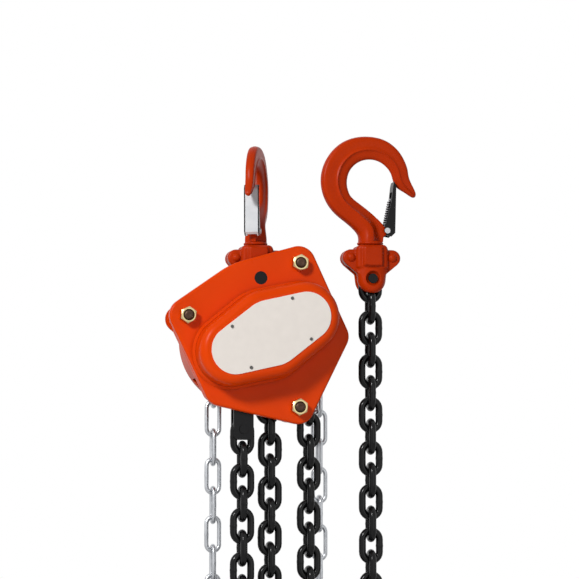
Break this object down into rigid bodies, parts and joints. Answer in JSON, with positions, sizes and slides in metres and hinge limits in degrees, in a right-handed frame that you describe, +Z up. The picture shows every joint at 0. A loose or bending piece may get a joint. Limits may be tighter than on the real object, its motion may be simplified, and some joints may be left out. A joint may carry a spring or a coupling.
{
  "type": "hand chain hoist",
  "caption": "Small hand chain hoist with painted gear body, top hook on a swivel yoke, load chain with bottom hook, and endless hand chain.",
  "frame": {"origin": "seat in the bowl of the top hook, where the hoist hangs", "axes": "+Z up, -Y towards the front with the gear cover and nameplate, +X towards the load side of the chain"},
  "size_m": [0.1783, 0.093, 0.5775],
  "materials": {
    "orange_paint": "gloss",
    "hook_paint": "gloss",
    "yellow_zinc": "satin",
    "nameplate_alloy": "satin",
    "machined_steel": "satin",
    "bright_zinc": "gloss",
    "black_oxide": "satin",
    "friction_lining": "matte",
    "load_chain_steel": "gloss"
  },
  "bodies": {
    "top_hook_body": {"top_hook": "hook_paint", "top_hook_nut": "machined_steel", "top_latch_pin": "bright_zinc", "top_latch_spring": "machined_steel"},
    "top_latch_body": {"top_latch": "bright_zinc"},
    "top_yoke_body": {"top_yoke_front": "hook_paint", "top_yoke_rear": "hook_paint", "top_yoke_rivets": "hook_paint"},
    "frame_body": {"gear_side_plate": "orange_paint", "wheel_side_plate": "orange_paint", "stay_bolts": "yellow_zinc", "front_nuts": "yellow_zinc", "rear_nuts": "yellow_zinc", "gear_cover": "orange_paint", "nameplate": "nameplate_alloy", "nameplate_rivets": "nameplate_alloy", "sheave_bearings": "machined_steel", "pawl_pins": "machined_steel", "pawl_springs": "machined_steel", "guide_roller_pins": "machined_steel", "chain_stripper": "machined_steel", "tail_anchor": "black_oxide", "tail_anchor_pin": "black_oxide", "tail_anchor_stud": "machined_steel", "hand_wheel_cover": "orange_paint", "top_pin": "black_oxide", "load_chain_wrap": "load_chain_steel", "load_chain_slack_strand": "load_chain_steel", "load_chain_hook_strand": "load_chain_steel", "load_chain_load_strand": "load_chain_steel", "load_chain_sag": "load_chain_steel", "load_chain_tail_strand": "load_chain_steel", "hand_chain_wrap": "bright_zinc", "hand_chain_right_strand": "bright_zinc", "hand_chain_left_strand": "bright_zinc", "load_chain_bundle": "load_chain_steel", "hand_chain_bundle": "bright_zinc", "bottom_yoke_front": "hook_paint", "bottom_yoke_rear": "hook_paint", "bottom_yoke_rivets": "hook_paint", "chain_pin": "black_oxide"},
    "drive_body": {"drive_shaft": "machined_steel", "brake_hub": "machined_steel", "friction_discs": "friction_lining", "hand_wheel": "yellow_zinc", "wheel_nut": "yellow_zinc"},
    "sheave_body": {"load_sheave": "machined_steel", "load_gear": "machined_steel"},
    "disc_gear_left_body": {"disc_gear_left": "machined_steel"},
    "disc_gear_right_body": {"disc_gear_right": "machined_steel"},
    "ratchet_body": {"ratchet_wheel": "machined_steel"},
    "pawl_upper_body": {"pawl_upper": "machined_steel"},
    "pawl_lower_body": {"pawl_lower": "machined_steel"},
    "roller_right_body": {"guide_roller_right": "machined_steel"},
    "roller_left_body": {"guide_roller_left": "machined_steel"},
    "bottom_hook_body": {"bottom_hook": "hook_paint", "bottom_hook_nut": "machined_steel", "bottom_latch_pin": "bright_zinc", "bottom_latch_spring": "machined_steel"},
    "bottom_latch_body": {"bottom_latch": "black_oxide"}
  },
  "joints": [
    {"name": "top_hook_swivel", "type": "hinge", "parent": "top_hook_body", "child": "top_yoke_body", "pos_m": [0, 0, -0.0546], "axis": [0, 0, 1], "continuous": true},
    {"name": "top_latch_hinge", "type": "hinge", "parent": "top_hook_body", "child": "top_latch_body", "pos_m": [-0.00398, -0.00939, -0.0453], "axis": [-0.9205, 0.3907, 0], "range_deg": [0, 30], "stiffness_Nm_per_rad": 0.05, "springref_deg": -20.05, "deforming": ["top_latch_spring"]},
    {"name": "body_swing", "type": "hinge", "parent": "top_yoke_body", "child": "frame_body", "pos_m": [0, 0, -0.0782], "axis": [0, 1, 0], "range_deg": [0, 30]},
    {"name": "hand_wheel_spin", "type": "hinge", "parent": "frame_body", "child": "drive_body", "pos_m": [0.00283, 0.0352, -0.11721], "axis": [0, 1, 0], "continuous": true, "deforming": ["hand_chain_wrap"]},
    {"name": "load_sheave_spin", "type": "hinge", "parent": "frame_body", "child": "sheave_body", "pos_m": [0.00283, 0, -0.11721], "axis": [0, 1, 0], "continuous": true, "deforming": ["load_chain_wrap"]},
    {"name": "disc_gear_left_spin", "type": "hinge", "parent": "frame_body", "child": "disc_gear_left_body", "pos_m": [-0.02152, -0.0217, -0.12887], "axis": [0, 1, 0], "continuous": true},
    {"name": "disc_gear_right_spin", "type": "hinge", "parent": "frame_body", "child": "disc_gear_right_body", "pos_m": [0.02718, -0.0217, -0.10554], "axis": [0, 1, 0], "continuous": true},
    {"name": "ratchet_turn", "type": "hinge", "parent": "frame_body", "child": "ratchet_body", "pos_m": [0.00283, 0.0232, -0.11721], "axis": [0, -1, 0], "range_deg": [0, 12]},
    {"name": "pawl_upper_lift", "type": "hinge", "parent": "frame_body", "child": "pawl_upper_body", "pos_m": [0.00971, 0.0232, -0.08064], "axis": [0, 1, 0], "range_deg": [0, 8.4], "deforming": ["pawl_springs"]},
    {"name": "pawl_lower_lift", "type": "hinge", "parent": "frame_body", "child": "pawl_lower_body", "pos_m": [-0.00405, 0.0232, -0.15377], "axis": [0, 1, 0], "range_deg": [0, 8.4]},
    {"name": "roller_right_spin", "type": "hinge", "parent": "frame_body", "child": "roller_right_body", "pos_m": [0.03821, 0, -0.11467], "axis": [0, 1, 0], "continuous": true},
    {"name": "roller_left_spin", "type": "hinge", "parent": "frame_body", "child": "roller_left_body", "pos_m": [-0.02131, 0, -0.14319], "axis": [0, 1, 0], "continuous": true},
    {"name": "bottom_hook_swivel", "type": "hinge", "parent": "frame_body", "child": "bottom_hook_body", "pos_m": [0.0817, 0, -0.0523], "axis": [0, 0, 1], "continuous": true},
    {"name": "bottom_latch_hinge", "type": "hinge", "parent": "bottom_hook_body", "child": "bottom_latch_body", "pos_m": [0.09298, -0.00041, -0.04201], "axis": [-0.0366, -0.9993, 0], "range_deg": [0, 30], "stiffness_Nm_per_rad": 0.05, "springref_deg": -20.05, "deforming": ["bottom_latch_spring"]}
  ],
  "couplings": [
    {"joint": "load_sheave_spin", "follows": "hand_wheel_spin", "ratio": 0.14793},
    {"joint": "disc_gear_left_spin", "follows": "hand_wheel_spin", "ratio": -0.38461},
    {"joint": "disc_gear_right_spin", "follows": "hand_wheel_spin", "ratio": -0.38461},
    {"joint": "pawl_upper_lift", "follows": "ratchet_turn", "ratio": 0.7},
    {"joint": "pawl_lower_lift", "follows": "ratchet_turn", "ratio": 0.7}
  ]
}
